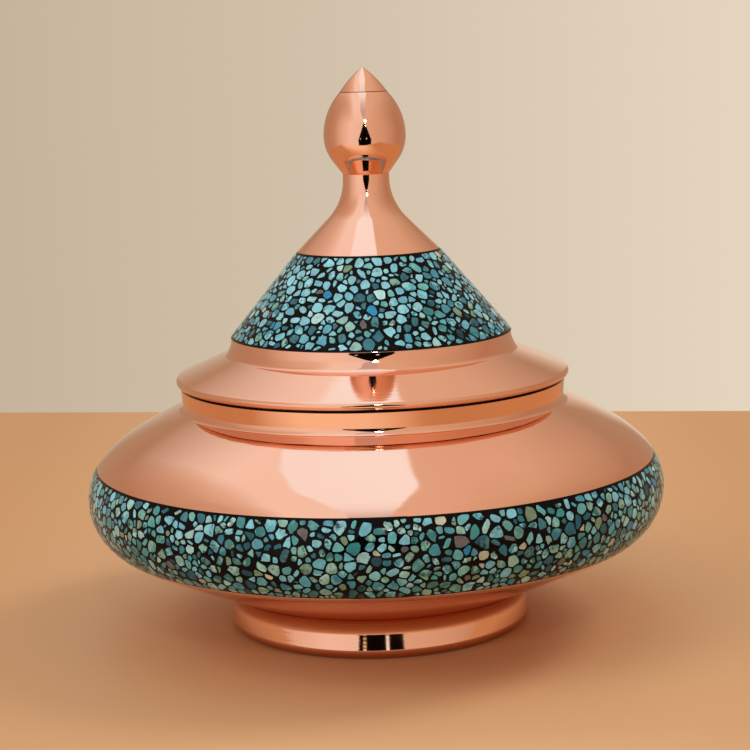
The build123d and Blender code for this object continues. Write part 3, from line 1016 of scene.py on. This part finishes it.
# Painted light on the floor: lighter in the middle, painted shade towards the sides and a pale painted pool
# of light at the front left.
floor_colour = srgb(212, 169, 126)
floor_shaded_edge_colour = srgb(193, 147, 101)
floor_light_pool_colour = srgb(246, 226, 198)
fade_inner = 0.03           # painted shade: the floor darkens to its shaded edge colour between these distances from its middle
fade_outer = 0.16
front_start = -0.11         # and a painted pool of light turns it pale from here on towards the viewer
front_end = -0.23
front_left = -0.02          # but only left of these places
front_right = 0.13
wall_colour = srgb(212, 195, 172)
wall_left_colour = srgb(197, 178, 154)
wall_right_colour = srgb(230, 214, 192)
side_colour = (0.46, 0.31, 0.20)
cloths = [                  # the tent's cloth at each bearing from the front, in degrees
    (-180, wall_colour),
    (-168, wall_left_colour),
    (-162, side_colour),
    (-120, (0.50, 0.32, 0.21)),
    (-95, (0.57, 0.38, 0.26)),
    (-70, (0.80, 0.62, 0.50)),
    (-40, (0.98, 0.84, 0.75)),
    (-1, (0.92, 0.78, 0.70)),
    (1, (0.82, 0.61, 0.46)),
    (50, (0.70, 0.50, 0.35)),
    (105, (0.50, 0.30, 0.19)),
    (162, side_colour),
    (168, wall_right_colour),
    (180, wall_colour),
]
roofs = [                   # the cloth overhead, from the left side to the right
    (-1.0, (0.55, 0.37, 0.25)),
    (-0.66, (0.70, 0.50, 0.37)),
    (-0.54, (0.84, 0.68, 0.57)),
    (-0.45, (1.0, 0.92, 0.87)),
    (-0.02, (1.0, 0.93, 0.88)),
    (0.02, (0.82, 0.62, 0.48)),
    (0.35, (0.80, 0.60, 0.46)),
    (0.6, (0.72, 0.53, 0.38)),
    (1.0, (0.54, 0.37, 0.26)),
]
opening_edges = [           # lift from the front, in degrees, and the strip's left and right edges
    (22, -0.02, -0.02),
    (28, 0.01, 0.0),
    (34, 0.08, 0.04),
    (40, 0.13, 0.065),
    (46, 0.16, 0.08),
    (52, 0.165, 0.08),
    (58, 0.155, 0.075),
    (64, 0.155, 0.08),
    (71, 0.17, 0.09),
    (79, 0.20, 0.105),
    (86, 0.25, 0.135),
    (93, 0.30, 0.16),
    (99, 0.30, 0.145),
    (105, 0.285, 0.12),
    (112, 0.27, 0.10),
    (118, 0.26, 0.085),
    (124, 0.25, 0.08),
    (126, -0.02, -0.02),
]
opening_lights = [          # lift, in degrees, and the strip's light
    (25, (0.62, 0.53, 0.52)),
    (45, (0.64, 0.55, 0.54)),
    (60, (0.78, 0.75, 0.76)),
    (70, (0.95, 1.00, 1.05)),
    (82, (1.04, 1.18, 1.28)),
]
lift_reach = 140            # the highest lift that a ramp holds
edge_shift = 0.02           # added to the strip's edges, as a ramp holds nothing below zero
edge_soft = 0.006
room_low = 0.35             # sine of the height at which the cloth at the sides gives way to the roof
room_high = 0.80            # and at which it is all roof
flag_place = -1.0           # how far in front of the bowl the dark opening lies
flag_top = 0.64             # where its two slanting sides meet
flag_side = 0.32            # half of its width, which its sides reach at the ground
flag_foot = -0.33           # it reaches below the floor's level
lamp_target = Vector((0, 0, 0.05))      # a little above the belly's widest place
white = (1, 1, 1)
amber = (1, 0.8, 0.45)


def lay_floor():
    """A table top with painted light: painted shade darker towards its sides and a painted pool of light at
    the front left.
    """
    bm = bmesh.new()
    bmesh.ops.create_grid(bm, x_segments=1, y_segments=1, size=0.5)
    bmesh.ops.scale(bm, vec=(2 * floor_side, floor_back - floor_front, 1.0), verts=bm.verts)
    bmesh.ops.translate(bm, vec=(0, (floor_back + floor_front) / 2, 0), verts=bm.verts)
    turn = Matrix.Rotation(math.radians(floor_turn), 3, "Z")
    bmesh.ops.rotate(bm, cent=(0, 0, 0), matrix=turn, verts=bm.verts)
    mesh = bpy.data.meshes.new("floor")
    bm.to_mesh(mesh)
    bm.free()
    floor = bpy.data.objects.new("floor", mesh)
    bpy.context.scene.collection.objects.link(floor)
    material, tree, principled, place = shader("floor")
    split = node(tree, "ShaderNodeSeparateXYZ", {"Vector": place})
    # painted shade towards the floor's sides
    aside = maths(tree, "ABSOLUTE", split.outputs["X"])
    away = ranged(tree, aside, fade_inner, fade_outer, 0.0, 1.0)
    near = blended(tree, away, floor_colour, floor_shaded_edge_colour)
    # painted pool of light at the front left
    ahead = ranged(tree, split.outputs["Y"], front_start, front_end, 0.0, 1.0)
    leftward = ranged(tree, split.outputs["X"], front_left, front_right, 1.0, 0.0)
    tone = blended(tree, maths(tree, "MULTIPLY", ahead, leftward), near, floor_light_pool_colour)
    wire(tree, principled, {"Base Color": tone, "Roughness": 0.6})
    mesh.materials.append(material)


def hang_lamp(name, place, width, height, power, colour, mirrored=True):
    """A soft lamp that faces the bowl, in metres and watts. One that isn't mirrored only lights."""
    data = bpy.data.lights.new(name, "AREA")
    data.shape = "RECTANGLE"
    data.size = width
    data.size_y = height
    data.energy = power
    data.color = colour
    lamp = bpy.data.objects.new(name, data)
    bpy.context.scene.collection.objects.link(lamp)
    lamp.location = place
    lamp.rotation_euler = (lamp_target - Vector(place)).to_track_quat("-Z", "Y").to_euler()
    lamp.visible_camera = False
    lamp.visible_glossy = mirrored


def light_world():
    """A light tent by direction: cloth all round, a bright strip in front and a plain wall behind."""
    world = bpy.data.worlds.new("studio")
    bpy.context.scene.world = world
    world.use_nodes = True
    tree = world.node_tree
    tree.nodes.clear()
    look = node(tree, "ShaderNodeTexCoord").outputs["Generated"]
    split = node(tree, "ShaderNodeSeparateXYZ", {"Vector": look})
    across, depth, up = split.outputs
    front = maths(tree, "MULTIPLY", depth, -1.0)
    bearing = maths(tree, "ARCTAN2", across, front)
    around = ranged(tree, bearing, -math.pi, math.pi, 0.0, 1.0)
    cloth = ramp(tree, around, [((turn + 180) / 360, colour) for turn, colour in cloths])
    aside = ranged(tree, across, -1.0, 1.0, 0.0, 1.0)
    roof = ramp(tree, aside, [((place + 1) / 2, colour) for place, colour in roofs])
    room = blended(tree, ranged(tree, up, room_low, room_high, 0.0, 1.0), cloth, roof)
    lift = maths(tree, "DIVIDE", maths(tree, "ARCTAN2", up, front), math.radians(lift_reach))
    stops = [
        (turn / lift_reach, (left + edge_shift, right + edge_shift, 0))
        for turn, left, right in opening_edges
    ]
    edges = node(tree, "ShaderNodeSeparateColor", {"Color": ramp(tree, lift, stops, "B_SPLINE")})
    from_left = maths(tree, "ADD", across, edges.outputs[0])
    from_right = maths(tree, "SUBTRACT", edges.outputs[1], across)
    inside = maths(tree, "SUBTRACT", maths(tree, "MINIMUM", from_left, from_right), edge_shift)
    strip = ranged(tree, inside, -edge_soft, edge_soft, 0.0, 1.0)
    glow = ramp(tree, lift, [(turn / lift_reach, colour) for turn, colour in opening_lights])
    tent = blended(tree, strip, room, glow)
    light = node(tree, "ShaderNodeBackground", {"Color": tent, "Strength": 1.0})
    node(tree, "ShaderNodeOutputWorld", {"Surface": light.outputs[0]})


def hang_flag():
    """The dark opening at the front of the tent, which only shows in what the copper mirrors."""
    bm = bmesh.new()
    bmesh.ops.create_grid(bm, x_segments=1, y_segments=1, size=1)
    for side in (-1, 1):
        cut(bm, at(side * flag_side, 0), at(side, 0))
        cut(bm, at(0, flag_top), at(side * flag_top, flag_side).normalized())
    cut(bm, at(0, flag_foot), at(0, -1))
    upright = Matrix.Rotation(math.radians(90), 3, "X")
    bmesh.ops.rotate(bm, cent=(0, 0, 0), matrix=upright, verts=bm.verts)
    bmesh.ops.translate(bm, vec=(0, flag_place, 0), verts=bm.verts)
    mesh = bpy.data.meshes.new("flag")
    bm.to_mesh(mesh)
    bm.free()
    flag = bpy.data.objects.new("flag", mesh)
    bpy.context.scene.collection.objects.link(flag)
    material, tree, principled, _ = shader("flag")
    black = (0.004, 0.003, 0.002, 1)
    wire(tree, principled, {"Base Color": black, "Roughness": 1.0, "Specular IOR Level": 0.0})
    mesh.materials.append(material)
    flag.visible_camera = False


lay_floor()
light_world()
hang_flag()
hang_lamp("left_lamp", (-0.9, -0.5, 1.0), 0.7, 0.7, 4, (1, 0.97, 0.93), mirrored=False)
hang_lamp("right_lamp", (0.9, 0.3, 1.1), 0.5, 0.5, 6, (1, 0.96, 0.9), mirrored=False)
hang_lamp("front_lamp", (0.05, -0.99, 0.655), 0.08, 0.06, 0.7, white)
hang_lamp("middle_lamp", (0.035, -0.99, 0.56), 0.022, 0.022, 0.04, amber)
hang_lamp("lower_lamp", (0.05, -0.99, 0.47), 0.022, 0.022, 0.04, amber)
hang_lamp("gold_lamp", (-0.21, -0.99, 0.03), 0.04, 0.05, 0.007, (1, 0.82, 0.42))
hang_lamp("white_lamp", (0.08, -0.99, 0.04), 0.04, 0.06, 0.008, white)
